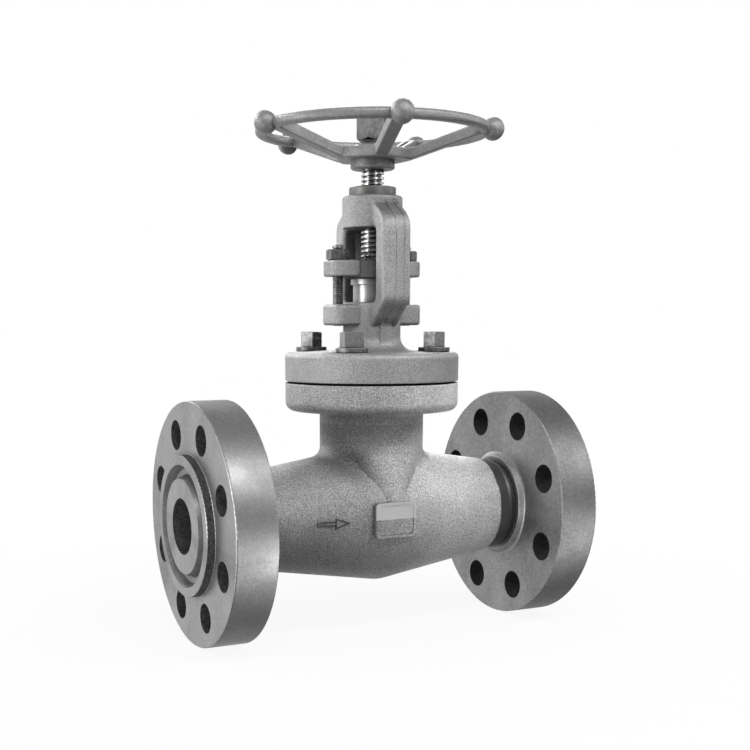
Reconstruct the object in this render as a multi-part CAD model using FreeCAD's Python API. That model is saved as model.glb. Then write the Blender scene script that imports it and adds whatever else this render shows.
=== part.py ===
import FreeCAD, Part
import math
import os

# Forged globe valve with flanged ends, bolted bonnet and outside screw and yoke, shown closed.
# Millimetres, +Z up. Every shape is drawn with the stem axis at x = 0 and the pipe axis on X,
# and save() moves it so that the origin is the centre of the inlet flange's sealing face.

V = FreeCAD.Vector
X = V(1, 0, 0)
Y = V(0, 1, 0)
Z = V(0, 0, 1)

# End flanges: nominal pipe size 2, class 900, ring joint facing.
FACE_TO_FACE = 371.0
FLANGE_R = 107.5
FLANGE_THICK = 38.1
RAISED_R = 62.0
RAISED_HIGH = 7.92
RING_PITCH_R = 47.625
RING_WIDTH = 11.91
RING_DEPTH = 7.92
RING_WALL_DEG = 23.0
BORE_R = 24.5
FLANGE_BOLT_PCD = 165.1
FLANGE_HOLE_R = 13.0
HUB_END_X = 134.5
HUB_R = 45.5

# Body forging.
BODY_END_X = 130.0
BARREL_MID_R = 62.85
BARREL_END_R = 44.9
BARREL_END_X = 115.5
WELD_PREP_R = 42.3
NECK_R = 47.4
NECK_FILLET = 12.0
COVER_R = 78.5
BODY_FLANGE_Z0 = 94.6
BODY_TOP_Z = 119.5
CHAMBER_R = 30.0
CHAMBER_FLOOR_Z = 10.0
PORT_R = 18.0
SEAT_R = 25.0
SEAT_Z0 = 2.0
SEAT_Z1 = 14.0

# Bonnet forging: cover flange, stuffing box, yoke arms and yoke head.
GASKET_THICK = 1.8
BONNET_Z0 = BODY_TOP_Z + GASKET_THICK
COVER_TOP_Z = 147.0
SPIGOT_Z0 = 104.2
COVER_BOLT_PCD = 116.0
COVER_BOLT_R = 5.5
BOX_OUTER_R = 25.9
BOX_R = 17.25
BOX_FLOOR_Z = 160.0
BOX_TOP_Z = 190.0
LUG_HALF_X = 43.3
LUG_HALF_Y = 16.5
LUG_Z0 = 170.0
LUG_Z1 = 188.0
STUD_X = 34.0
YOKE_Y = 47.3
YOKE_HALF_X = 13.8
WINDOW_Y = 30.0
WINDOW_TOP_Z = 253.4
HEAD_R = 26.6
HEAD_TOP_Z = 280.5

# Stem, trapezoidal thread 20 x 4, right-hand.
STEM_R = 10.0
STEM_PITCH = 4.0
THREAD_DEPTH = 2.1
THREAD_Z0 = 222.0
HUB_Z0 = 302.8
SQUARE = 16.0
STEM_END_R = 8.0
STEM_TOP_Z = 348.5
RUNNING = 0.25

# Gland.
GLAND_SEAT_Z = 184.0
GLAND_COLLAR_Z = 205.0
GLAND_FLANGE_Z0 = 210.3
GLAND_FLANGE_Z1 = 225.6
STUD_R = 5.0
STUD_PITCH = 1.5
STUD_Z0 = 169.5
STUD_Z1 = 238.8

# Handwheel.
RIM_R = 102.5
RIM_INNER_R = 92.0
RIM_Z0 = 330.4
RIM_Z1 = 338.8
BALL_R = 9.7
BALL_PITCH_R = 104.0
SPOKES = 5
FIRST_SPOKE_DEG = 255.1
HUB_R_WHEEL = 19.4
HUB_TOP_Z = 322.5


def outline(corners, across, up):
    """Closed wire through (u, v, radius) corners, each corner rounded by its own radius."""
    points = [across * u + up * v for u, v, _ in corners]
    starts = []
    ends = []
    arcs = []
    for i, (_, _, radius) in enumerate(corners):
        here = points[i]
        if radius == 0:
            starts.append(here)
            ends.append(here)
            arcs.append(None)
            continue
        back = (points[i - 1] - here).normalize()
        ahead = (points[(i + 1) % len(points)] - here).normalize()
        half = back.getAngle(ahead) / 2
        centre = here + (back + ahead).normalize() * (radius / math.sin(half))
        starts.append(here + back * (radius / math.tan(half)))
        ends.append(here + ahead * (radius / math.tan(half)))
        middle = centre + (here - centre).normalize() * radius
        arcs.append(Part.Arc(starts[i], middle, ends[i]).toShape())
    edges = []
    for i, arc in enumerate(arcs):
        if arc:
            edges.append(arc)
        following = starts[(i + 1) % len(points)]
        if (ends[i] - following).Length > 1e-6:
            edges.append(Part.LineSegment(ends[i], following).toShape())
    return Part.Wire(edges)


def turned(corners, axis):
    """Solid of revolution; corners are (r, z, radius) about Z or (x, r, radius) about X."""
    return Part.Face(outline(corners, X, Z)).revolve(V(0, 0, 0), axis, 360)


def prism_z(corners, z0, z1):
    """Plan outline in X and Y, raised from z0 to z1."""
    return Part.Face(outline(corners, X, Y)).extrude(Z * (z1 - z0)).translated(Z * z0)


def prism_x(corners, half_width):
    """Side outline in Y and Z, extruded both ways along X."""
    face = Part.Face(outline(corners, Y, Z))
    return face.extrude(X * (2 * half_width)).translated(X * -half_width)


def prism_y(corners, half_width):
    """Side outline in X and Z, extruded both ways along Y."""
    face = Part.Face(outline(corners, X, Z))
    return face.extrude(Y * (2 * half_width)).translated(Y * -half_width)


def rod(radius, z0, z1, x=0.0, y=0.0):
    return Part.makeCylinder(radius, z1 - z0, V(x, y, z0))


def rod_x(radius, x0, x1):
    return Part.makeCylinder(radius, x1 - x0, V(x0, 0, 0), X)


def tube(outer, inner, z0, z1, edge=0.0):
    corners = [(inner, z0, edge), (outer, z0, edge), (outer, z1, edge), (inner, z1, edge)]
    return turned(corners, Z)


def hexagon(across_flats, z0, z1, turn_deg, low_chamfer=True):
    """Hexagonal prism with its corners turned off at 30 degrees, about the Z axis."""
    corner_r = across_flats / math.sqrt(3)
    corners = []
    for i in range(6):
        angle = math.radians(turn_deg + 60 * i)
        corners.append((corner_r * math.cos(angle), corner_r * math.sin(angle), 0))
    flat_r = across_flats / 2 * 0.97
    drop = (corner_r - flat_r) * math.tan(math.radians(30))
    low_r = flat_r if low_chamfer else corner_r
    profile = [
        (0, z0, 0),
        (low_r, z0, 0),
        (corner_r, z0 + (drop if low_chamfer else 0.001), 0),
        (corner_r, z1 - drop, 0),
        (flat_r, z1, 0),
        (0, z1, 0),
    ]
    return prism_z(corners, z0, z1).common(turned(profile, Z))


def rounded_block(half_x, half_y, corner, z0, z1):
    corners = []
    for sx, sy in ((1, 1), (-1, 1), (-1, -1), (1, -1)):
        corners.append((sx * half_x, sy * half_y, corner))
    return prism_z(corners, z0, z1)


def around(radius, count, first_deg):
    """Plan positions on a circle about the stem axis."""
    angles = [math.radians(first_deg + 360.0 * i / count) for i in range(count)]
    return [V(radius * math.cos(a), radius * math.sin(a), 0) for a in angles]


def round_edges(shape, radius, wanted):
    return shape.makeFillet(radius, [edge for edge in shape.Edges if wanted(edge)])


def helical_groove(radius, pitch, depth, z0, z1):
    """Trapezoidal cutter that winds up a rod, right-handed."""
    helix = Part.makeHelix(pitch, z1 - z0, radius)
    outside = 0.6
    half_mouth = 0.36 * pitch
    half_root = 0.14 * pitch
    profile = outline(
        [
            (radius - depth, -half_root, 0),
            (radius + outside, -half_mouth, 0),
            (radius + outside, half_mouth, 0),
            (radius - depth, half_root, 0),
        ],
        X,
        Z,
    )
    return Part.Wire(helix).makePipeShell([profile], True, True).translated(Z * z0)


def grooved_rod(radius, pitch, z0, z1):
    """Metric stud drawn with rings at its thread pitch and chamfered ends."""
    depth = 0.61 * pitch
    corners = [(0, z0, 0), (radius - depth, z0, 0)]
    z = z0 + depth
    while z + pitch < z1 - depth:
        corners.append((radius, z, 0))
        corners.append((radius, z + 0.15 * pitch, 0))
        corners.append((radius - depth, z + 0.5 * pitch, 0))
        corners.append((radius - depth, z + 0.65 * pitch, 0))
        z += pitch
    corners.append((radius, z, 0))
    corners.append((radius, z1 - depth, 0))
    corners.append((radius - depth, z1, 0))
    corners.append((0, z1, 0))
    return turned(corners, Z)


def save(name, shape):
    os.makedirs("parts", exist_ok=True)
    shape.translated(X * (FACE_TO_FACE / 2)).exportStep("parts/" + name + ".step")


def barrel(extra):
    """Double cone of the body run, swollen by extra."""
    corners = [(-BODY_END_X, 0, 0), (-BODY_END_X, WELD_PREP_R - 0.4, 0)]
    corners.append((-BODY_END_X + 1.2, WELD_PREP_R + 0.8, 0.6))
    corners.append((-BODY_END_X + 3.0, WELD_PREP_R - 0.3, 1.5))
    corners.append((-BARREL_END_X - 1.5, WELD_PREP_R + 0.9, 0.8))
    corners.append((-BARREL_END_X, BARREL_END_R + extra, 1.5))
    corners.append((0, BARREL_MID_R + extra, 30))
    corners += [(-x, r, radius) for x, r, radius in reversed(corners[:-1])]
    return turned(corners, X)


def arrow_plate(grow, thick):
    """Arrow that points the way the fluid goes, standing proud of the barrel by thick."""
    tail_x, neck_x, tip_x = -79.5 - grow, -62.5 - grow, -50.5 + 1.6 * grow
    half_shaft, half_head = 1.7 + grow, 4.9 + 1.4 * grow
    corners = [
        (tail_x, -half_shaft, 0),
        (neck_x, -half_shaft, 0),
        (neck_x, -half_head, 0),
        (tip_x, 0, 0),
        (neck_x, half_head, 0),
        (neck_x, half_shaft, 0),
        (tail_x, half_shaft, 0),
    ]
    column = Part.Face(outline(corners, X, Z)).extrude(Y * -40).translated(V(0, -30, 1))
    return column.common(barrel(thick))


def front_rib():
    """Tapering ridge that runs down the front of the neck to the name pad."""
    wide = Part.Wire(Part.makeCircle(NECK_R - 0.05, V(0, 0, 66), Z))
    narrow = Part.Wire(Part.makeCircle(13.0, V(-5, -49.2, 14), Z))
    return Part.makeLoft([wide, narrow], True, True)


def name_pad():
    """Blank rectangular pad with a raised border on the front of the barrel."""
    x, z, half_x, half_z = -8.0, 2.0, 20.0, 15.6
    face_y, back_y, border, sunk = -64.0, -45.0, 2.2, 1.0

    def slab(shrink, y0, y1):
        corners = []
        for sx, sz in ((1, 1), (-1, 1), (-1, -1), (1, -1)):
            corners.append((x + sx * (half_x - shrink), z + sz * (half_z - shrink), 4.0))
        return Part.Face(outline(corners, X, Z)).extrude(Y * (y1 - y0)).translated(Y * y0)

    pad = slab(0, face_y, back_y)
    return pad.cut(slab(border, face_y - 1, face_y + sunk))


def flow_path():
    """Bowl, seat port and the two sloping passages inside the body."""
    bowl = rod(CHAMBER_R, CHAMBER_FLOOR_Z, BODY_TOP_Z + 1)
    seat_pocket = rod(SEAT_R, SEAT_Z0, CHAMBER_FLOOR_Z + 1)
    turn = V(0, 0, -27)
    start = V(-95, 0, 0)
    down = turn - start
    path = bowl.fuse([
        seat_pocket,
        Part.makeSphere(PORT_R, turn),
        Part.makeCylinder(PORT_R, down.Length, start, down),
        rod(PORT_R, turn.z, SEAT_Z0 + 1),
        Part.makeCylinder(PORT_R, 97.0, V(10, 0, 38), V(85, 0, -38)),
        rod_x(BORE_R, -BODY_END_X - 1, -88),
        rod_x(BORE_R, 88, BODY_END_X + 1),
    ])
    return path


def body():
    column = turned([(0, 0, 0), (NECK_R, 0, 0), (NECK_R, BODY_FLANGE_Z0, 4),
                     (COVER_R, BODY_FLANGE_Z0, 8), (COVER_R, BODY_TOP_Z, 0.8),
                     (0, BODY_TOP_Z, 0)], Z)
    forging = barrel(0).fuse(column)

    def where_neck_meets_run(edge):
        middle = edge.valueAt((edge.FirstParameter + edge.LastParameter) / 2)
        return abs(math.hypot(middle.x, middle.y) - NECK_R) < 0.1 and 20 < middle.z < 90

    forging = round_edges(forging, NECK_FILLET, where_neck_meets_run)
    forging = forging.fuse([front_rib(), arrow_plate(0, 0.9), name_pad()])
    forging = forging.cut(arrow_plate(-0.75, 0.9).cut(barrel(0.25)))
    forging = forging.cut(flow_path())
    for spot in around(COVER_BOLT_PCD / 2, 4, 45):
        forging = forging.cut(rod(COVER_BOLT_R, 97, BODY_TOP_Z + 1, spot.x, spot.y))
    return forging


def seat_ring():
    lip = SEAT_Z1 - 2.5
    return turned([(PORT_R, SEAT_Z0, 0), (SEAT_R, SEAT_Z0, 0), (SEAT_R, SEAT_Z1, 0.6),
                   (PORT_R + 3, SEAT_Z1, 0), (PORT_R, lip, 0)], Z)


def end_flange(side):
    """Weld-on ring joint flange; side is -1 for the inlet and +1 for the outlet."""
    face_x = FACE_TO_FACE / 2
    front_x = face_x - RAISED_HIGH
    rear_x = front_x - FLANGE_THICK
    half_mouth = RING_WIDTH / 2
    half_floor = half_mouth - RING_DEPTH * math.tan(math.radians(RING_WALL_DEG))
    floor_x = face_x - RING_DEPTH
    corners = [
        (HUB_END_X, BORE_R, 0),
        (HUB_END_X, HUB_R, 0.8),
        (rear_x, HUB_R + 4, 3),
        (rear_x, FLANGE_R, 1.2),
        (front_x, FLANGE_R, 1.5),
        (front_x, RAISED_R, 0.8),
        (face_x, RAISED_R, 1.0),
        (face_x, RING_PITCH_R + half_mouth, 0),
        (floor_x, RING_PITCH_R + half_floor, 0.8),
        (floor_x, RING_PITCH_R - half_floor, 0.8),
        (face_x, RING_PITCH_R - half_mouth, 0),
        (face_x, BORE_R, 0),
    ]
    flange = turned(corners, X)
    drill = rod_x(FLANGE_HOLE_R, rear_x - 1, front_x + 1)
    for i in range(8):
        angle = math.radians(22.5 + 45 * i)
        across = V(0, math.cos(angle), math.sin(angle)) * (FLANGE_BOLT_PCD / 2)
        flange = flange.cut(drill.translated(across))
    if side < 0:
        flange = flange.mirror(V(0, 0, 0), X)
    return flange


def end_weld(side):
    """Butt weld between the body and one flange hub, crowned a little."""
    bead = turned([(BODY_END_X, BORE_R, 0), (BODY_END_X, 39.5, 0), (BODY_END_X + 0.9, 41.4, 1),
                   (HUB_END_X - 0.9, 41.4, 1), (HUB_END_X, 39.5, 0), (HUB_END_X, BORE_R, 0)], X)
    if side < 0:
        bead = bead.mirror(V(0, 0, 0), X)
    return bead


def yoke_side(grow):
    """Side outline of both yoke arms, from the stuffing box up to the yoke head."""
    half = [
        (BOX_OUTER_R - 8, LUG_Z0 - 6.5, 0),
        (BOX_OUTER_R + 1.6 + grow, LUG_Z0 + 2.0, 4),
        (YOKE_Y + grow, 190.5, 12),
        (YOKE_Y + grow, 260.0 + grow, 16),
        (28.5 + grow, 272.5 + grow, 5),
        (HEAD_R - 1.0 + grow, 277.5, 0),
        (HEAD_R - 4, 277.5, 0),
    ]
    return half + [(-y, z, radius) for y, z, radius in reversed(half)]


def yoke():
    window = [
        (WINDOW_Y, BOX_TOP_Z, 6),
        (WINDOW_Y, WINDOW_TOP_Z, 6),
        (-WINDOW_Y, WINDOW_TOP_Z, 6),
        (-WINDOW_Y, BOX_TOP_Z, 6),
    ]
    opening = prism_x(window, 60)
    arms = prism_x(yoke_side(0), YOKE_HALF_X).cut(opening)
    arms = round_edges(arms, 4.5, lambda edge: abs(abs(edge.CenterOfMass.x) - YOKE_HALF_X) < 0.01)
    middle = (WINDOW_TOP_Z + BOX_TOP_Z) / 2
    half_height = (WINDOW_TOP_Z - BOX_TOP_Z) / 2 + 1
    inner_ridge = rounded_block(1.7, WINDOW_Y + 1, 0.8, middle - half_height, middle + half_height)
    clear = rounded_block(10, WINDOW_Y - 1.2, 0.5, BOX_TOP_Z - 5, WINDOW_TOP_Z + 5)
    return arms.fuse([trim_step(-1.5, 0.45), trim_step(6.4, 0.9), inner_ridge.cut(clear)])


def trim_step(x0, proud):
    """Step left by the forging dies along the outside of both arms, from x0 to their edge."""
    x1 = YOKE_HALF_X - 3.6
    outside = prism_x(yoke_side(proud), 30).cut(prism_x(yoke_side(-2), 40))
    return outside.common(Part.makeBox(x1 - x0, 200, 150, V(x0, -100, LUG_Z0 - 10)))


def column_rib():
    """Flat strip up the front and back of the stuffing box, under each yoke arm."""
    half = [
        (BOX_OUTER_R - 4, COVER_TOP_Z + 1, 0),
        (BOX_OUTER_R + 5, COVER_TOP_Z + 1, 0),
        (BOX_OUTER_R + 1.0, COVER_TOP_Z + 8, 12),
        (BOX_OUTER_R + 1.0, LUG_Z0 + 1.5, 6),
        (BOX_OUTER_R + 6, LUG_Z0 + 6.0, 0),
        (BOX_OUTER_R - 4, LUG_Z0 + 6.0, 0),
    ]
    front = prism_x(half, 5.4)
    return front.fuse(front.mirror(V(0, 0, 0), Y))


def bonnet():
    cover = turned([
        (0, SPIGOT_Z0, 0),
        (CHAMBER_R - 0.1, SPIGOT_Z0, 1),
        (CHAMBER_R - 0.1, BONNET_Z0, 0),
        (COVER_R, BONNET_Z0, 0.8),
        (COVER_R, COVER_TOP_Z - 0.5, 5),
        (BOX_OUTER_R, COVER_TOP_Z + 1.3, 12),
        (BOX_OUTER_R, BOX_TOP_Z, 2),
        (0, BOX_TOP_Z, 0),
    ], Z)
    lugs = rounded_block(LUG_HALF_X, LUG_HALF_Y, 7, LUG_Z0, LUG_Z1)
    lugs = round_edges(lugs, 2.5, lambda edge: edge.BoundBox.ZLength < 0.01)
    head = turned([(0, WINDOW_TOP_Z, 0), (HEAD_R, WINDOW_TOP_Z, 1), (HEAD_R, HEAD_TOP_Z, 2.5),
                   (0, HEAD_TOP_Z, 0)], Z)
    forging = cover.fuse([lugs, yoke(), column_rib(), head])
    forging = forging.cut([
        rod(STEM_R + 0.5, SPIGOT_Z0 - 1, BOX_FLOOR_Z + 1),
        rod(16, SPIGOT_Z0 - 1, 128),
        rod(BOX_R, BOX_FLOOR_Z, BOX_TOP_Z + 1),
        rod(16, WINDOW_TOP_Z - 1, HEAD_TOP_Z + 1),
        rod(STUD_R, LUG_Z0 - 1, LUG_Z1 + 1, STUD_X),
        rod(STUD_R, LUG_Z0 - 1, LUG_Z1 + 1, -STUD_X),
    ])
    for spot in around(COVER_BOLT_PCD / 2, 4, 45):
        forging = forging.cut(rod(15.5, COVER_TOP_Z, COVER_TOP_Z + 12, spot.x, spot.y))
        forging = forging.cut(rod(6.5, BONNET_Z0 - 1, COVER_TOP_Z + 1, spot.x, spot.y))
    return forging


def cover_bolt(turn_deg):
    head = hexagon(18.3, 151, 164.5, turn_deg, low_chamfer=False)
    return head.fuse(rod(COVER_BOLT_R, 98, 151.5))


def stem():
    """Stem with a button at the disc, a back-seat shoulder, the screw and a squared top."""
    blank = turned([
        (0, 28.0 + RUNNING, 0),
        (13, 28.0 + RUNNING, 0.8),
        (13, 34.0, 0.5),
        (STEM_R, 34.0, 0),
        (STEM_R, 78, 0),
        (13.5, 80, 0),
        (13.5, 84, 0),
        (STEM_R, 88, 0),
        (STEM_R, HUB_TOP_Z - 2, 0),
        (STEM_END_R, HUB_TOP_Z - 2, 0),
        (STEM_END_R, STEM_TOP_Z - 1.2, 0),
        (STEM_END_R - 1.2, STEM_TOP_Z, 0),
        (0, STEM_TOP_Z, 0),
    ], Z)
    keep = Part.makeBox(SQUARE, SQUARE, 60, V(-SQUARE / 2, -SQUARE / 2, HUB_Z0))
    keep = keep.fuse(rod(20, 0, HUB_Z0))
    blank = blank.common(keep)
    return blank.cut(helical_groove(STEM_R, STEM_PITCH, THREAD_DEPTH, THREAD_Z0, HUB_Z0 - 1))


def disc():
    """Plug disc with a socket that hangs on the stem button, a hair clear of the seat."""
    gap = 0.15
    return turned([
        (0, SEAT_Z1 - 3.75 + gap, 0),
        (PORT_R - 1.5, SEAT_Z1 - 3.75 + gap, 0.8),
        (PORT_R + 3, SEAT_Z1 + gap, 0),
        (24, SEAT_Z1 + gap, 0.8),
        (24, 26, 1.5),
        (20, 26, 1),
        (20, 44, 0.5),
        (14.5, 44, 0),
        (14.5, 28, 0),
        (0, 28, 0),
    ], Z)


def disc_nut():
    ring = tube(14.5, STEM_R + RUNNING, 34.0 + RUNNING, 44)
    head = hexagon(34, 44, 50, 0).cut(rod(STEM_R + RUNNING, 40, 60))
    return ring.fuse(head)


def gland_flange():
    bar = rounded_block(43.8, 16.5, 10, 212, GLAND_FLANGE_Z1)
    bar = round_edges(bar, 1.8, lambda edge: edge.BoundBox.ZLength < 0.01)
    middle = turned([(0, GLAND_FLANGE_Z0, 0), (26, GLAND_FLANGE_Z0, 1.5),
                     (26, GLAND_FLANGE_Z1, 1.5), (0, GLAND_FLANGE_Z1, 0)], Z)
    plate = bar.fuse(middle)
    return plate.cut([
        rod(STEM_R + 0.6, 200, 230),
        rod(STUD_R + 0.5, 200, 230, STUD_X),
        rod(STUD_R + 0.5, 200, 230, -STUD_X),
    ])


def gland_bush():
    return turned([
        (STEM_R + RUNNING, GLAND_SEAT_Z, 0),
        (BOX_R - RUNNING, GLAND_SEAT_Z, 0),
        (BOX_R - RUNNING, GLAND_COLLAR_Z, 0),
        (19, GLAND_COLLAR_Z, 0.5),
        (19, GLAND_FLANGE_Z0, 0.5),
        (STEM_R + RUNNING, GLAND_FLANGE_Z0, 0),
    ], Z)


def gland_nut():
    nut = hexagon(18, GLAND_FLANGE_Z1 + RUNNING, 235.0, 30)
    return nut.cut(rod(STUD_R + RUNNING, 220, 240))


def yoke_nut():
    """Fixed bronze nut; its thread is drawn as a plain bore at the screw's outside diameter."""
    return turned([
        (STEM_R + RUNNING, WINDOW_TOP_Z, 0),
        (16, WINDOW_TOP_Z, 0),
        (16, HEAD_TOP_Z, 0),
        (20.7, HEAD_TOP_Z, 0.6),
        (20.7, 288, 1),
        (STEM_R + RUNNING, 288, 0),
    ], Z)


def spoke():
    """One flat bar that climbs from the hub to the rim, with a channel along its top."""
    bar = prism_y([
        (14, 311.0, 0),
        (36, 311.5, 10),
        (95, 330.8, 0),
        (95, 338.0, 0),
        (87, 338.0, 8),
        (36, 320.5, 10),
        (14, 320.5, 0),
    ], 6.0)
    bar = round_edges(bar, 1.2, lambda edge: abs(abs(edge.CenterOfMass.y) - 6.0) < 0.01)
    channel = prism_y([(41, 320.4, 0), (85, 335.6, 0), (85, 345, 0), (41, 345, 0)], 2.3)
    return bar.cut(channel)


def handwheel():
    rim = turned([(RIM_INNER_R, RIM_Z0, 3.5), (RIM_R, RIM_Z0, 3.5), (RIM_R, RIM_Z1, 3.5),
                  (RIM_INNER_R, RIM_Z1, 3.5)], Z)
    hub = turned([(0, HUB_Z0, 0), (HUB_R_WHEEL, HUB_Z0, 2), (HUB_R_WHEEL, 311, 0), (24, 313, 0),
                  (24, 320, 0), (17, HUB_TOP_Z, 0), (0, HUB_TOP_Z, 0)], Z)
    web_corners = []
    for i in range(SPOKES):
        for radius, offset, corner in ((37.0, 0, 7.0), (31.0, 36, 25.0)):
            angle = math.radians(FIRST_SPOKE_DEG + 72 * i + offset)
            web_corners.append((radius * math.cos(angle), radius * math.sin(angle), corner))
    web = prism_z(web_corners, 310.5, 319.5)
    web = round_edges(web, 1.5, lambda edge: edge.BoundBox.ZLength < 0.01)
    pieces = [hub, web]
    bar = spoke()
    for i, spot in enumerate(around(BALL_PITCH_R, SPOKES, FIRST_SPOKE_DEG)):
        pieces.append(bar.rotated(V(0, 0, 0), Z, FIRST_SPOKE_DEG + 72 * i))
        pieces.append(Part.makeSphere(BALL_R, spot + Z * ((RIM_Z0 + RIM_Z1) / 2)))
    wheel = rim.fuse(pieces)
    hole = SQUARE + 0.2
    square = Part.makeBox(hole, hole, 40, V(-hole / 2, -hole / 2, HUB_Z0 - 5))
    return wheel.cut(square)


def wheel_washer():
    """Plain washer with a narrower spring ring formed on top of it."""
    inner, middle = STEM_END_R + 0.3, HUB_TOP_Z + 2.4
    return turned([
        (inner, HUB_TOP_Z, 0),
        (12.5, HUB_TOP_Z, 0.5),
        (12.5, middle - 0.3, 0.5),
        (10.3, middle - 0.3, 0),
        (10.3, middle, 0),
        (11.5, middle, 0.4),
        (11.5, 327, 0.4),
        (inner, 327, 0),
    ], Z)


def main():
    save("body", body())
    save("seat_ring", seat_ring())
    save("inlet_flange", end_flange(-1))
    save("outlet_flange", end_flange(1))
    save("inlet_weld", end_weld(-1))
    save("outlet_weld", end_weld(1))

    spots = around(COVER_BOLT_PCD / 2, 4, 45)
    save("bonnet", bonnet())
    save("bonnet_gasket", tube(49, 32, BODY_TOP_Z, BONNET_Z0))
    turns = (50, 69, 28, 61.6)
    bolts = [cover_bolt(turn).translated(spot) for turn, spot in zip(turns, spots)]
    save("bonnet_bolts", Part.makeCompound(bolts))
    washer = tube(14.0, 6.0, COVER_TOP_Z, 151, 0.5)
    save("bonnet_washers", Part.makeCompound([washer.translated(s) for s in spots]))
    save("backseat_bush", tube(16, STEM_R + RUNNING, SPIGOT_Z0, 128))

    save("stem", stem())
    save("disc", disc())
    save("disc_nut", disc_nut())

    save("packing_washer", tube(17, STEM_R + RUNNING, BOX_FLOOR_Z, 162))
    rings = [tube(17, STEM_R + RUNNING, 162 + 5.5 * i, 167.5 + 5.5 * i) for i in range(4)]
    save("packing_rings", Part.makeCompound(rings))
    save("gland_bush", gland_bush())
    save("gland_flange", gland_flange())
    stud = grooved_rod(STUD_R, STUD_PITCH, STUD_Z0, STUD_Z1)
    studs = [stud.translated(X * STUD_X), stud.translated(X * -STUD_X)]
    save("gland_studs", Part.makeCompound(studs))
    save("gland_nut_left", gland_nut().translated(X * -STUD_X))
    save("gland_nut_right", gland_nut().translated(X * STUD_X))

    save("yoke_nut", yoke_nut())
    save("handwheel", handwheel())
    save("handwheel_washer", wheel_washer())
    top_nut = hexagon(25, 327, 346, 45).cut(rod(STEM_END_R, 320, 350))
    save("handwheel_nut", top_nut)


main()
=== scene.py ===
import math

import bpy
from mathutils import Matrix, Vector


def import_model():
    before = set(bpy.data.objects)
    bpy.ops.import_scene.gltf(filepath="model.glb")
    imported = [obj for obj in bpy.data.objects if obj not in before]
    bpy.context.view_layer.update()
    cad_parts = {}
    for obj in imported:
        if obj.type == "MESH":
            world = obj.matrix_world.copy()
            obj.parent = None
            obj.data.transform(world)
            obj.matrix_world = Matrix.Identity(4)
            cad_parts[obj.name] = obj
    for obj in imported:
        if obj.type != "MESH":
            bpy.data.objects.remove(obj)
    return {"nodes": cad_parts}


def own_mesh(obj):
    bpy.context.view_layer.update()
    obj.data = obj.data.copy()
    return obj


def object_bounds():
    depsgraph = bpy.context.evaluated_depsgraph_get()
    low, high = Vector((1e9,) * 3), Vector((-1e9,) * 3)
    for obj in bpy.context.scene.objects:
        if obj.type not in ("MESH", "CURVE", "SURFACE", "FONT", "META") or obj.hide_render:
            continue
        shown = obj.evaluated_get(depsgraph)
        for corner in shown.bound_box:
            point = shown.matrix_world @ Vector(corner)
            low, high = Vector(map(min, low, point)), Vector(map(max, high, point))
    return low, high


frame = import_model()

# Row frame in metres: origin at the inlet face, +X to the outlet, +Z up the stem, -Y to the camera.
CAD_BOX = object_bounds()
MM = 0.001
STEM_X = 185.5 * MM
FLOOR_Z = CAD_BOX[0].z

# End flanges
HOLES = 8
HOLE_CIRCLE_R = 82.55 * MM
HOLE_R = 13.0 * MM
BORE_R = 24.5 * MM
RAISED_R = 62.0 * MM

# Flow arrow on the body's front, along X from the stem
ARROW_TAIL = -79.5 * MM
ARROW_NECK = -62.5 * MM
ARROW_TIP = -50.5 * MM
ARROW_HALF_SHAFT = 1.5 * MM
ARROW_HALF_HEAD = 4.1 * MM
ARROW_HALF_LINE = 0.4 * MM
ARROW_Z = 1.0 * MM
ARROW_FRONT_Y = -50.0 * MM

# Name pad on the body's front: its face and the ground upper half
PAD_FACE_Y = -62.7 * MM
GROUND_LOW_Z = 2.4 * MM
GROUND_HIGH_Z = 30.0 * MM

# Places on body, bonnet and gland where the tone changes
WELD_END_FROM_STEM = 114.5 * MM
TOP_FLANGE_LOW_Z = 86.0 * MM
NECK_FOOT_LOW_Z = 26.0 * MM
NECK_FOOT_HIGH_Z = 66.0 * MM
ARM_LOW_Z = 178.0 * MM
ARM_SHADOW_R = 27.5 * MM

# Tones there: the last two are shares taken off, the ground half and weld ends are values of
# their own, and the others multiply the forging's tone. All but the ground half and weld ends are
# painted light and shade: light across the body and on its top flange, shade along the arrow's
# outline, on the arm's slopes and at the neck, and the near arm's shadow on the gland.
BODY_LEFT_LIGHT, BODY_RIGHT_LIGHT = 0.74, 1.60
TOP_FLANGE_LIGHT = 1.22
ARROW_SHADE = 0.35
ARM_SLOPE_SHADE = 0.76
ARM_SHADOW_TONE = 0.24
GROUND_VALUE = 0.74
WELD_END_VALUES = (0.085, 0.14)
NECK_FOOT_SHADE = 0.42
UNDER_FLANGE_SHADE = 0.22

# Noise runs mostly between these two values
NOISE_LOW, NOISE_HIGH = 0.3, 0.7

# Studio: the floor glows by the share GLOW_NEAR under the valve and fully beyond SHADOW_FAR
FLOOR_HALF_SIZE = 6.0
SHADOW_NEAR, SHADOW_FAR = 0.16, 0.62
GLOW_NEAR = 0.91
BRIGHT_TOWARD = (-0.25, 0.97, 0.0)
BRIGHT_FROM, BRIGHT_TO = -0.2, 0.75
BRIGHT_SIDE = 0.75
DIM_SIDE = 0.08
LIGHT_DISTANCE = 1.6
LIGHT_AIM = Vector((STEM_X, 0.0, 0.1))
NARROW, WIDE = 0.35, 0.6

# Camera
SENSOR_MM = 36.0
FOCAL_MM = 58.0848
SHIFT = (0.062, 0.30787)
AZIMUTH, ELEVATION, ROLL = -25.884, 13.045, -0.157
CAMERA_AT = Vector((-525.07 * MM + STEM_X, -991.10 * MM, 169.90 * MM))


# ---------------------------------------------------------------- node graph helper

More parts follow.
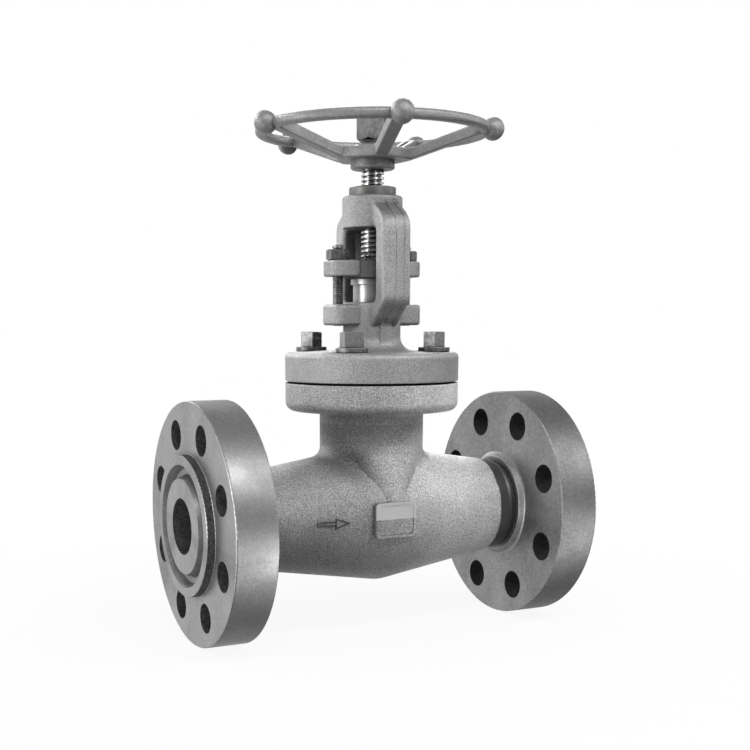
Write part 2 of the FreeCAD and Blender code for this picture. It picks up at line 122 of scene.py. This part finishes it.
class Graph:
    """A material's node tree, built by short calls. Any input takes a number, a colour or a socket."""

    def __init__(self, name):
        self.material = bpy.data.materials.new(name)
        self.material.use_nodes = True
        self.tree = self.material.node_tree
        self.tree.nodes.clear()
        self.place = self.node("ShaderNodeTexCoord").outputs["Object"]
        self.geometry = self.node("ShaderNodeNewGeometry")

    def node(self, kind, inputs=None, **settings):
        made = self.tree.nodes.new(kind)
        for key, value in settings.items():
            setattr(made, key, value)
        for key, value in (inputs or {}).items():
            self.feed(made.inputs[key], value)
        return made

    def feed(self, socket, value):
        if isinstance(value, bpy.types.NodeSocket):
            self.tree.links.new(value, socket)
        else:
            socket.default_value = value

    def math(self, operation, a, b=0.0):
        made = self.node("ShaderNodeMath", operation=operation)
        for socket, value in zip(made.inputs, (a, b)):
            self.feed(socket, value)
        return made.outputs[0]

    def plus(self, a, b):
        return self.math("ADD", a, b)

    def minus(self, a, b):
        return self.math("SUBTRACT", a, b)

    def times(self, a, b):
        return self.math("MULTIPLY", a, b)

    def higher(self, a, b):
        return self.math("MAXIMUM", a, b)

    def length(self, a, b):
        """Length of the flat vector (a, b)."""
        return self.math("SQRT", self.plus(self.math("POWER", a, 2.0), self.math("POWER", b, 2.0)))

    def mix(self, share, a, b):
        made = self.node("ShaderNodeMix", data_type="FLOAT")
        self.feed(made.inputs[0], share)
        self.feed(made.inputs[2], a)
        self.feed(made.inputs[3], b)
        return made.outputs[0]

    def ramp(self, value, low, high, to_low=0.0, to_high=1.0):
        """A smooth step: to_low where the value is at low, to_high where it is at high."""
        made = self.node("ShaderNodeMapRange", interpolation_type="SMOOTHSTEP")
        for key, number in (("Value", value), ("From Min", low), ("From Max", high),
                            ("To Min", to_low), ("To Max", to_high)):
            self.feed(made.inputs[key], number)
        return made.outputs[0]

    def within(self, distance, limit):
        """1 up to the limit, 0 from 0.4 mm beyond it."""
        return self.ramp(distance, limit + 0.1 * MM, limit + 0.4 * MM, 1.0, 0.0)

    def noise(self, scale, detail=3.0, roughness=0.5, at=None):
        made = self.node("ShaderNodeTexNoise", {
            "Vector": at or self.place, "Scale": scale, "Detail": detail, "Roughness": roughness})
        return made.outputs["Fac"]

    def spread(self, noise, low, high):
        """The noise, stretched to run from low to high."""
        return self.ramp(noise, NOISE_LOW, NOISE_HIGH, low, high)

    def axes(self, vector=None):
        made = self.node("ShaderNodeSeparateXYZ", {"Vector": vector or self.place})
        return made.outputs[0], made.outputs[1], made.outputs[2]

    def join(self, x, y, z):
        return self.node("ShaderNodeCombineXYZ", {"X": x, "Y": y, "Z": z}).outputs[0]

    def edge(self, radius):
        """1 on convex and concave edges within the radius, 0 on open surface."""
        bevel = self.node("ShaderNodeBevel", {"Radius": radius}, samples=4)
        flat = self.node("ShaderNodeVectorMath", {0: bevel.outputs[0], 1: self.geometry.outputs["Normal"]},
                         operation="DOT_PRODUCT").outputs["Value"]
        return self.ramp(self.minus(1.0, flat), 0.02, 0.35)

    def hollow(self, distance):
        """1 in deep corners, 0 on open surface."""
        shade = self.node("ShaderNodeAmbientOcclusion", {"Distance": distance}, samples=4)
        return self.minus(1.0, shade.outputs["AO"])

    def edge_wear_and_highlight(self, tone, radius, amount):
        """The tone, brighter on edges: wear, and painted highlight where the edges catch light."""
        return self.plus(tone, self.times(self.edge(radius), amount))

    def shade_corners(self, tone, corners, amount):
        """Painted shade: the tone, darker where the corners' mask is high."""
        return self.minus(tone, self.times(corners, amount))

    def bump(self, height, distance, strength):
        made = self.node("ShaderNodeBump", {
            "Height": height, "Distance": distance, "Strength": strength})
        return made.outputs[0]

    def finish(self, value, roughness, metallic, normal, anisotropic=0.0, tangent=None,
               tint=(1.0, 1.0, 1.0)):
        """The material: a grey value times a tint, as a principled surface."""
        colour = self.node("ShaderNodeCombineColor", mode="RGB")
        for socket, part in zip(colour.inputs, tint):
            self.feed(socket, self.times(value, part))
        surface = self.node("ShaderNodeBsdfPrincipled", {
            "Base Color": colour.outputs[0], "Roughness": roughness, "Metallic": metallic,
            "Anisotropic": anisotropic, "Normal": normal})
        if tangent:
            self.feed(surface.inputs["Tangent"], tangent)
        output = self.node("ShaderNodeOutputMaterial")
        self.tree.links.new(surface.outputs[0], output.inputs["Surface"])
        return self.material


# ---------------------------------------------------------------- regions of a forging

def arrow_line(g, x, y, z):
    """1 along the outline of the flow arrow on the body's front, 0 elsewhere: where painted shade darkens
    the raised outline.
    """
    along = g.minus(x, STEM_X)
    across = g.math("ABSOLUTE", g.minus(z, ARROW_Z))
    ends = g.higher(g.minus(ARROW_TAIL, along), g.minus(along, ARROW_NECK))
    shaft = g.higher(ends, g.minus(across, ARROW_HALF_SHAFT))
    length = ARROW_TIP - ARROW_NECK
    slant = math.hypot(length, ARROW_HALF_HEAD)
    side = g.plus(g.times(g.minus(along, ARROW_TIP), ARROW_HALF_HEAD / slant),
                  g.times(across, length / slant))
    head = g.higher(g.minus(ARROW_NECK, along), side)
    distance = g.math("ABSOLUTE", g.math("MINIMUM", shaft, head))
    line = g.ramp(distance, ARROW_HALF_LINE + 0.5 * MM, ARROW_HALF_LINE)
    return g.times(line, g.ramp(y, ARROW_FRONT_Y, ARROW_FRONT_Y - 2 * MM))


def neck_shade(g, x, y, z, from_stem):
    """Share of tone lost left of the neck's foot and under the top flange."""
    foot = g.times(g.ramp(z, NECK_FOOT_LOW_Z, NECK_FOOT_LOW_Z + 18 * MM),
                   g.ramp(z, NECK_FOOT_HIGH_Z, NECK_FOOT_HIGH_Z - 14 * MM))
    shoulder = g.times(g.ramp(g.length(from_stem, y), 74 * MM, 50 * MM), foot)
    shoulder = g.times(shoulder, g.ramp(x, STEM_X - 18 * MM, STEM_X - 34 * MM))
    under_flange = g.times(g.ramp(z, TOP_FLANGE_LOW_Z - 20 * MM, TOP_FLANGE_LOW_Z - 6 * MM),
                           g.ramp(z, TOP_FLANGE_LOW_Z, TOP_FLANGE_LOW_Z - 3 * MM))
    return g.higher(g.times(shoulder, NECK_FOOT_SHADE), g.times(under_flange, UNDER_FLANGE_SHADE))


def ground_pad(g, y, z, wander):
    """1 on the ground upper half of the name pad, 0 elsewhere."""
    level = g.plus(z, g.times(wander, 0.12))
    upper = g.times(g.ramp(level, GROUND_LOW_Z, GROUND_LOW_Z + 0.6 * MM),
                    g.ramp(z, GROUND_HIGH_Z, GROUND_HIGH_Z - 1 * MM))
    return g.times(g.ramp(y, PAD_FACE_Y, PAD_FACE_Y - 0.2 * MM), upper)


def body_regions(g, base, rough, grain):
    """Painted light and shade on the body and its flow arrow, machined weld preparations, ground half of
    the name pad.
    """
    x, y, z = g.axes()
    from_stem = g.math("ABSOLUTE", g.minus(x, STEM_X))
    wander = g.times(g.minus(g.noise(70, 2), 0.5), 8 * MM)
    # Painted light: the body darker towards the inlet and brighter towards the outlet, as the lights fall
    # on it.
    sideways_light = g.ramp(g.plus(x, g.times(wander, 2.0)), STEM_X - 45 * MM, STEM_X + 75 * MM,
                      BODY_LEFT_LIGHT, BODY_RIGHT_LIGHT)
    # Painted light: the body's top flange brighter than the body below it.
    top_flange_light = g.ramp(z, TOP_FLANGE_LOW_Z - 6 * MM, TOP_FLANGE_LOW_Z + 9 * MM, 1.0, TOP_FLANGE_LIGHT)
    base = g.times(base, g.times(sideways_light, top_flange_light))
    base = g.times(base, g.minus(1.0, neck_shade(g, x, y, z, from_stem)))
    # Painted shade along the flow arrow's raised outline.
    base = g.times(base, g.mix(arrow_line(g, x, y, z), 1.0, ARROW_SHADE))
    turned = g.ramp(g.plus(from_stem, wander), WELD_END_FROM_STEM, WELD_END_FROM_STEM + 2 * MM)
    lathe = g.noise(1.0, 2, 0.5, at=g.join(g.times(x, 2600.0), 0.0, 0.0))
    base = g.mix(turned, base, g.spread(lathe, *WELD_END_VALUES))
    rough = g.mix(turned, rough, 0.42)
    ground = ground_pad(g, y, z, wander)
    base = g.mix(ground, base, GROUND_VALUE)
    rough = g.mix(ground, rough, 0.5)
    return base, rough, g.mix(g.higher(turned, ground), grain, 0.12)


def bonnet_regions(g, base, rough, grain):
    """Painted shade: darker slopes where the near yoke arm joins the head above and the column below."""
    z = g.axes()[2]
    facing = g.axes(g.geometry.outputs["True Normal"])
    lean = g.math("ABSOLUTE", facing[2])
    slope = g.times(g.ramp(lean, 0.20, 0.60), g.ramp(lean, 0.95, 0.85))
    slope = g.times(slope, g.ramp(facing[1], -0.25, -0.45))
    slope = g.times(slope, g.ramp(z, ARM_LOW_Z, ARM_LOW_Z + 6 * MM))
    return g.times(base, g.mix(slope, 1.0, ARM_SLOPE_SHADE)), rough, grain


def gland_shadow_regions(g, base, rough, grain):
    """Painted shadow of the near yoke arm on the middle of the gland flange, around the stem."""
    x, y, _ = g.axes()
    arm_shadow = g.ramp(g.length(g.minus(x, STEM_X), y), ARM_SHADOW_R, ARM_SHADOW_R - 2 * MM)
    return g.times(base, g.mix(arm_shadow, 1.0, ARM_SHADOW_TONE)), g.mix(arm_shadow, rough, 0.5), grain


# ---------------------------------------------------------------- painted shade in an end flange

def bolt_holes(g, radius, turn):
    """1 in the bolt holes, 0 elsewhere, from the distance to the nearest hole's axis."""
    from_hole = g.math("PINGPONG", g.minus(turn, math.pi / HOLES), math.pi / HOLES)
    reach = g.times(g.times(radius, 2 * HOLE_CIRCLE_R), g.math("COSINE", from_hole))
    square = g.plus(g.math("POWER", radius, 2.0), HOLE_CIRCLE_R ** 2)
    return g.within(g.math("SQRT", g.minus(square, reach)), HOLE_R)


def shaded_places(g, radius, turn, on_face):
    """1 where shade is painted: in the bolt holes, in the bore and on the raised face's wall; 0 elsewhere.
    """
    near_wall = g.times(g.ramp(radius, RAISED_R - 0.6 * MM, RAISED_R - 0.2 * MM),
                        g.ramp(radius, RAISED_R + 0.8 * MM, RAISED_R + 0.4 * MM))
    wall = g.times(near_wall, g.minus(1.0, on_face))
    return g.higher(g.higher(bolt_holes(g, radius, turn), g.within(radius, BORE_R)), wall)


# ---------------------------------------------------------------- materials

def blasted(name, value, speckle, sheltered, creases, regions):
    """Sand-blasted forging: pits and fine speckle, mottled tone, edge wear and painted highlight, painted
    shade in hollows.
    """
    g = Graph(name)
    pits = g.noise(900, 3, 0.65)
    fine = g.noise(1700, 2, 0.6)
    cloud = g.noise(28, 4, 0.55)
    dents = g.noise(110, 2, 0.5)
    height = g.plus(g.plus(g.times(pits, 0.75), g.times(fine, 0.35)), g.times(dents, 0.8))
    tone = g.plus(g.ramp(pits, 0.36, 0.64, 1 - speckle, 1 + speckle), g.spread(cloud, -0.08, 0.08))
    tone = g.plus(tone, g.ramp(fine, 0.35, 0.65, -0.4 * speckle, 0.4 * speckle))
    tone = g.edge_wear_and_highlight(tone, 1.2 * MM, 0.34)
    # Painted shade in crevices, by the share creases.
    tone = g.shade_corners(tone, g.ramp(g.hollow(2.5 * MM), 0.15, 0.5), creases)
    # Painted shade in deep hollows such as the yoke's window, by the share sheltered.
    shelter = g.ramp(g.hollow(45 * MM), 0.35, 0.85)
    base = g.times(g.times(tone, g.minus(1.0, g.times(shelter, sheltered))), value)
    rough = g.ramp(pits, 0.3, 0.75, 0.63, 0.45)
    base, rough, grain = regions(g, base, rough, 0.4 + 1.7 * speckle)
    return g.finish(base, rough, 0.75, g.bump(height, 0.8 * MM, grain))


def faced(name, face_value, rim_value, hole_shade_value, roughness=0.41, grit=0.10):
    """Turned flange steel: matte face, banded sheen on the rim, painted shade in the holes, bore and
    raised wall.
    """
    g = Graph(name)
    x, y, z = g.axes()
    radius = g.length(y, z)
    turn = g.math("ARCTAN2", z, y)
    along_pipe = g.axes(g.geometry.outputs["True Normal"])[0]
    on_face = g.ramp(g.math("ABSOLUTE", along_pipe), 0.45, 0.6)
    rings = g.noise(1.0, 4, 0.7, at=g.join(g.times(radius, 1400.0), g.times(x, 1400.0), 0.0))
    speckle = g.noise(1300, 2, 0.6)
    spots = g.noise(420, 3, 0.65)
    cloud = g.noise(26, 4, 0.6)
    sector_sheen = g.noise(1.7, 1, 0.5, at=g.join(g.math("SINE", turn), g.math("COSINE", turn), 4.0))
    tone = g.plus(g.ramp(speckle, 0.32, 0.68, 1 - grit, 1 + grit), g.ramp(spots, 0.32, 0.68, -grit, grit))
    tone = g.plus(tone, g.spread(cloud, -0.09, 0.09))
    tone = g.plus(tone, g.spread(rings, -0.03, 0.03))
    tone = g.edge_wear_and_highlight(tone, 0.8 * MM, 0.14)
    tone = g.shade_corners(tone, g.hollow(12 * MM), 0.45)
    # Painted reflection: turned steel's sheen, lighter and darker round the face.
    tone = g.plus(tone, g.ramp(sector_sheen, 0.35, 0.65, -0.12, 0.12))
    shaded_part = shaded_places(g, radius, turn, on_face)
    # Painted light: face and rim toned apart, as the lights fall differently on each.
    base = g.times(tone, g.mix(on_face, rim_value, face_value))
    # Painted shade in the holes, the bore and on the raised wall.
    base = g.mix(shaded_part, base, g.times(g.ramp(spots, 0.35, 0.65, 0.6, 1.6), hole_shade_value))
    rough = g.mix(shaded_part, g.spread(cloud, roughness + 0.05, roughness - 0.05), 0.6)
    normal = g.bump(g.plus(g.times(rings, 0.4), g.times(spots, 0.9)), 0.07 * MM, 0.8)
    tangent = g.node("ShaderNodeTangent", direction_type="RADIAL", axis="X").outputs[0]
    return g.finish(base, rough, g.mix(shaded_part, 0.8, 0.1), normal,
                    anisotropic=0.45, tangent=tangent)


def cast(name, value):
    """Painted grey casting: orange-peel pits, dull, edges rubbed and with painted highlight, painted shade
    in hollows.
    """
    g = Graph(name)
    pits = g.noise(420, 4, 0.6)
    fine = g.noise(1300, 2, 0.6)
    cloud = g.noise(35, 3, 0.5)
    tone = g.plus(g.spread(pits, 0.86, 1.10), g.spread(cloud, -0.08, 0.08))
    tone = g.edge_wear_and_highlight(tone, 1.4 * MM, 0.15)
    tone = g.shade_corners(tone, g.hollow(9 * MM), 0.45)
    normal = g.bump(g.plus(g.times(pits, 0.8), g.times(fine, 0.3)), 0.35 * MM, 0.8)
    return g.finish(g.times(tone, value), g.spread(pits, 0.58, 0.46), 0.55, normal)


def machined(name, value, roughness, creases=0.5, tint=(1.0, 1.0, 1.0)):
    """Bright turned steel with faint rings around the vertical axis, edge wear and painted highlight,
    painted shade in hollows.
    """
    g = Graph(name)
    z = g.axes()[2]
    rings = g.noise(1.0, 3, 0.6, at=g.join(0.0, 0.0, g.times(z, 900.0)))
    smear = g.noise(90, 3, 0.6)
    fine = g.noise(1800, 2, 0.5)
    tone = g.plus(g.spread(rings, 0.94, 1.05), g.spread(smear, -0.10, 0.08))
    tone = g.edge_wear_and_highlight(tone, 0.5 * MM, 0.25)
    tone = g.shade_corners(tone, g.hollow(5 * MM), creases)
    rough = g.ramp(g.plus(smear, g.times(fine, 0.4)), 0.4, 1.0, roughness + 0.08, roughness - 0.05)
    normal = g.bump(g.plus(rings, g.times(fine, 0.3)), 0.03 * MM, 0.6)
    return g.finish(g.times(tone, value), rough, 0.95, normal, tint=tint)


def dull_bolt(name, value, sheltered=0.8):
    """Hot-formed bolting: soft dark patches, wear and painted highlight on corners, painted shade in
    thread roots.
    """
    g = Graph(name)
    scale = g.noise(240, 4, 0.65)
    fine = g.noise(1500, 2, 0.6)
    tone = g.plus(g.ramp(scale, 0.35, 0.65, 0.72, 1.12), g.spread(fine, -0.08, 0.08))
    tone = g.edge_wear_and_highlight(tone, 0.8 * MM, 0.45)
    # Painted shade in deep hollows, by the share sheltered.
    tone = g.shade_corners(tone, g.ramp(g.hollow(45 * MM), 0.2, 0.75), sheltered)
    tone = g.shade_corners(tone, g.ramp(g.hollow(1.5 * MM), 0.1, 0.5), 0.6)
    normal = g.bump(g.plus(scale, g.times(fine, 0.5)), 0.12 * MM, 0.7)
    return g.finish(g.times(tone, value), g.spread(scale, 0.5, 0.34), 0.85, normal)


def dark(name, value, roughness=0.7):
    """Gasket, packing and weld metal: dark with laminations and grit."""
    g = Graph(name)
    z = g.axes()[2]
    grit = g.noise(900, 3, 0.6)
    layers = g.noise(1.0, 2, 0.5, at=g.join(0.0, 0.0, g.times(z, 3500.0)))
    tone = g.plus(g.spread(grit, 0.7, 1.3), g.spread(layers, -0.2, 0.2))
    normal = g.bump(g.plus(grit, layers), 0.1 * MM, 0.6)
    return g.finish(g.times(tone, value), roughness, 0.4, normal)


MATERIALS = {
    "body": blasted("blasted_body", value=0.43, speckle=0.36, sheltered=0.45, creases=0.7,
                    regions=body_regions),
    "bonnet": blasted("blasted_bonnet", value=0.37, speckle=0.22, sheltered=0.75, creases=0.0,
                      regions=bonnet_regions),
    "gland_flange": blasted("blasted_gland", value=0.32, speckle=0.19, sheltered=0.75, creases=0.4,
                            regions=gland_shadow_regions),
    "inlet_flange": faced("faced_inlet", face_value=0.34, rim_value=0.27, hole_shade_value=0.055),
    "outlet_flange": faced("faced_outlet", face_value=0.30, rim_value=0.20, hole_shade_value=0.025,
                           roughness=0.42, grit=0.16),
    "inlet_weld": dark("weld_inlet", 0.05, roughness=0.5),
    "outlet_weld": dark("weld_outlet", 0.05, roughness=0.5),
    "bonnet_gasket": dark("spiral_gasket", 0.02),
    "packing_rings": dark("graphite_packing", 0.03, roughness=0.45),
    "bonnet_bolts": dull_bolt("cover_bolt_steel", 0.38),
    "bonnet_washers": dull_bolt("washer_steel", 0.26),
    "gland_studs": dull_bolt("stud_steel", 0.42, sheltered=0.3),
    "gland_nut_left": dull_bolt("gland_nut_steel_left", 0.22),
    "gland_nut_right": dull_bolt("gland_nut_steel_right", 0.22),
    "handwheel_nut": dull_bolt("wheel_nut_steel", 0.185),
    "handwheel_washer": dull_bolt("wheel_washer_steel", 0.22),
    "handwheel": cast("cast_wheel", 0.28),
    "stem": machined("screw_steel", 0.70, roughness=0.27, creases=1.5),
    "gland_bush": machined("polished_gland", 0.50, roughness=0.38),
    "yoke_nut": machined("yoke_nut_metal", 0.19, roughness=0.5, tint=(1.0, 0.99, 0.97)),
    "seat_ring": machined("seat_steel", 0.6, roughness=0.25),
    "disc": machined("disc_steel", 0.6, roughness=0.25),
    "disc_nut": machined("disc_nut_steel", 0.55, roughness=0.3),
    "backseat_bush": machined("backseat_steel", 0.6, roughness=0.25),
    "packing_washer": machined("packing_washer_steel", 0.5, roughness=0.3),
}


def wear_materials():
    """Each CAD node wears its one material."""
    for node, material in MATERIALS.items():
        piece = frame["nodes"][node]
        piece.data.materials.clear()
        piece.data.materials.append(material)


def soft_packing():
    """Gives the packing rings a mesh of their own."""
    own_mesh(frame["nodes"]["packing_rings"])


# ---------------------------------------------------------------- stage, light and camera

def floor():
    """Pale floor: it shows the valve's soft shadow close by and fades to the backdrop's white."""
    mesh = bpy.data.meshes.new("studio_floor")
    corners = [(x * FLOOR_HALF_SIZE, y * FLOOR_HALF_SIZE, FLOOR_Z)
               for x, y in ((-1, -1), (1, -1), (1, 1), (-1, 1))]
    mesh.from_pydata(corners, [], [(0, 1, 2, 3)])
    made = bpy.data.objects.new("studio_floor", mesh)
    bpy.context.scene.collection.objects.link(made)
    made.visible_diffuse = False
    made.visible_glossy = False
    made.visible_shadow = False
    g = Graph("pale_floor")
    centre = g.node("ShaderNodeVectorMath", {0: g.place, 1: (STEM_X, 0.0, FLOOR_Z)},
                    operation="DISTANCE").outputs["Value"]
    paper = g.node("ShaderNodeBsdfDiffuse", {"Color": (0.9, 0.9, 0.9, 1.0)})
    glow = g.node("ShaderNodeEmission", {"Color": (1.0, 1.0, 1.0, 1.0), "Strength": 1.0})
    share = g.ramp(g.plus(centre, g.times(g.noise(4.0, 2), 0.04)),
                   SHADOW_NEAR, SHADOW_FAR, GLOW_NEAR, 1.0)
    blend = g.node("ShaderNodeMixShader", {0: share, 1: paper.outputs[0], 2: glow.outputs[0]})
    output = g.node("ShaderNodeOutputMaterial")
    g.tree.links.new(blend.outputs[0], output.inputs["Surface"])
    mesh.materials.append(g.material)


def world():
    """White to the camera; as a light, a studio bright on BRIGHT_TOWARD's side and dim on the other."""
    made = bpy.data.worlds.new("studio_world")
    made.use_nodes = True
    tree = made.node_tree
    tree.nodes.clear()
    place = tree.nodes.new("ShaderNodeTexCoord")
    facing = tree.nodes.new("ShaderNodeVectorMath")
    facing.operation = "DOT_PRODUCT"
    facing.inputs[1].default_value = BRIGHT_TOWARD
    tree.links.new(place.outputs["Generated"], facing.inputs[0])
    fade = tree.nodes.new("ShaderNodeMapRange")
    fade.interpolation_type = "SMOOTHSTEP"
    for key, number in (("From Min", BRIGHT_FROM), ("From Max", BRIGHT_TO),
                        ("To Min", DIM_SIDE), ("To Max", BRIGHT_SIDE)):
        fade.inputs[key].default_value = number
    tree.links.new(facing.outputs["Value"], fade.inputs["Value"])
    studio = tree.nodes.new("ShaderNodeBackground")
    studio.inputs["Color"].default_value = (1.0, 1.0, 1.0, 1.0)
    tree.links.new(fade.outputs[0], studio.inputs["Strength"])
    backdrop = tree.nodes.new("ShaderNodeBackground")
    backdrop.inputs["Color"].default_value = (1.0, 1.0, 1.0, 1.0)
    path = tree.nodes.new("ShaderNodeLightPath")
    blend = tree.nodes.new("ShaderNodeMixShader")
    out = tree.nodes.new("ShaderNodeOutputWorld")
    tree.links.new(path.outputs["Is Camera Ray"], blend.inputs[0])
    tree.links.new(studio.outputs[0], blend.inputs[1])
    tree.links.new(backdrop.outputs[0], blend.inputs[2])
    tree.links.new(blend.outputs[0], out.inputs[0])
    bpy.context.scene.world = made


FLANGES = ("inlet_flange", "outlet_flange")
OTHERS = tuple(node for node in frame["nodes"] if node not in FLANGES)
LIGHTS = (
    # name, degrees right of the front, degrees above level, watts, width, nodes it lights (none: all)
    ("key_right_front", 12, 48, 7.8, NARROW, ()),
    ("key_high_front", -30, 48, 7.5, WIDE, ()),
    ("front", 10, 20, 4.0, WIDE, OTHERS),
    ("right_front", 46, 34, 5.0, WIDE, ()),
    ("right_side", 80, 24, 5.0, WIDE, ()),
    ("left_side", -90, 10, 9.0, WIDE, ()),
    ("low_left", -60, -25, 5.0, WIDE, ()),
    ("low_right", 30, -34, 3.0, WIDE, ()),
    ("rim_left", -60, -17, 7.0, WIDE, FLANGES),
    ("rim_right", 30, -28, 9.0, WIDE, FLANGES),
    ("back_right", 150, 35, 10.0, WIDE, OTHERS),
    ("back_left", -150, 35, 15.0, WIDE, OTHERS),
    ("back_flanges", 180, 20, 6.0, WIDE, FLANGES),
    ("outlet_face", 92, 4, 8.0, WIDE, FLANGES),
)


def softbox(name, azimuth, elevation, power, width, nodes):
    """Square light facing the valve, seen from it at the given azimuth and elevation."""
    turn, rise = math.radians(azimuth), math.radians(elevation)
    toward = Vector((math.sin(turn) * math.cos(rise), -math.cos(turn) * math.cos(rise), math.sin(rise)))
    lamp = bpy.data.lights.new(name, "AREA")
    lamp.shape = "SQUARE"
    lamp.size = width
    lamp.energy = power
    made = bpy.data.objects.new(name, lamp)
    made.location = LIGHT_AIM + toward * LIGHT_DISTANCE
    made.rotation_euler = (-toward).to_track_quat("-Z", "Y").to_euler()
    bpy.context.scene.collection.objects.link(made)
    if nodes:
        lit = bpy.data.collections.new(name + "_lights")
        for node in nodes:
            lit.objects.link(frame["nodes"][node])
        made.light_linking.receiver_collection = lit


def camera():
    """Camera turned and shifted off its axis; the shift holds only while it stands at CAMERA_AT."""
    data = bpy.data.cameras.new("view_camera")
    data.sensor_width = SENSOR_MM
    data.lens = FOCAL_MM
    made = bpy.data.objects.new("view_camera", data)
    bpy.context.scene.collection.objects.link(made)
    a, e, r = (math.radians(v) for v in (AZIMUTH, ELEVATION, ROLL))
    ahead = Vector((-math.sin(a) * math.cos(e), math.cos(a) * math.cos(e), -math.sin(e)))
    level = Vector((math.cos(a), math.sin(a), 0.0))
    above = level.cross(ahead)
    right = level * math.cos(r) + above * math.sin(r)
    up = above * math.cos(r) - level * math.sin(r)
    made.matrix_world = Matrix((right, up, -ahead)).transposed().to_4x4()
    made.location = CAMERA_AT
    for channel, amount in zip(("shift_x", "shift_y"), SHIFT):
        driver = data.driver_add(channel).driver
        driver.type = "SCRIPTED"
        moved = driver.variables.new()
        moved.name = "x"
        moved.type = "TRANSFORMS"
        moved.targets[0].id = made
        moved.targets[0].transform_type = "LOC_X"
        moved.targets[0].transform_space = "WORLD_SPACE"
        driver.expression = f"{amount:.5f} if fabs(x - {CAMERA_AT.x:.5f}) < 0.001 else 0"
    bpy.context.scene.camera = made


wear_materials()
soft_packing()
floor()
world()
for light in LIGHTS:
    softbox(*light)
camera()
bpy.context.scene.view_settings.view_transform = "Standard"
